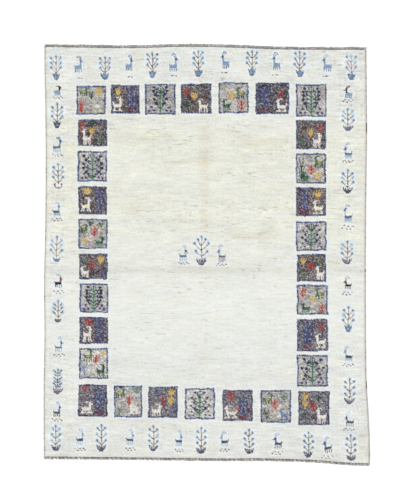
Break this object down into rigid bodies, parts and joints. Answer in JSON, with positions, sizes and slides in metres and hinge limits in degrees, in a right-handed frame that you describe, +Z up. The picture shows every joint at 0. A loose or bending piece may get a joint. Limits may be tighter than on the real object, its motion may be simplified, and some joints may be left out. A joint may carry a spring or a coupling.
{
  "type": "gabbeh rug",
  "caption": "Hand-knotted wool gabbeh rug lying flat, ivory with a rectangle of small deer and flower panels inside a row of potted trees and deer.",
  "frame": {"origin": "middle of the rug's outline, on the surface that it lies on", "axes": "+Y towards the head of the rug, +X towards its right side, +Z up out of the pile"},
  "size_m": [1.5189, 1.9639, 0.014],
  "materials": {
    "wool_pile": "soft wool pile, ivory with knots of navy, blue, red, yellow, green and brown",
    "kilim_weave": "flat-woven wool, pale and mauve-brown twined rows",
    "overcast_wool": "wool yarn wrapped round the side warps"
  },
  "bodies": {
    "root": {"pile_field": "wool_pile", "kilim_head": "kilim_weave", "kilim_foot": "kilim_weave", "selvage_left": "overcast_wool", "selvage_right": "overcast_wool"}
  },
  "joints": []
}
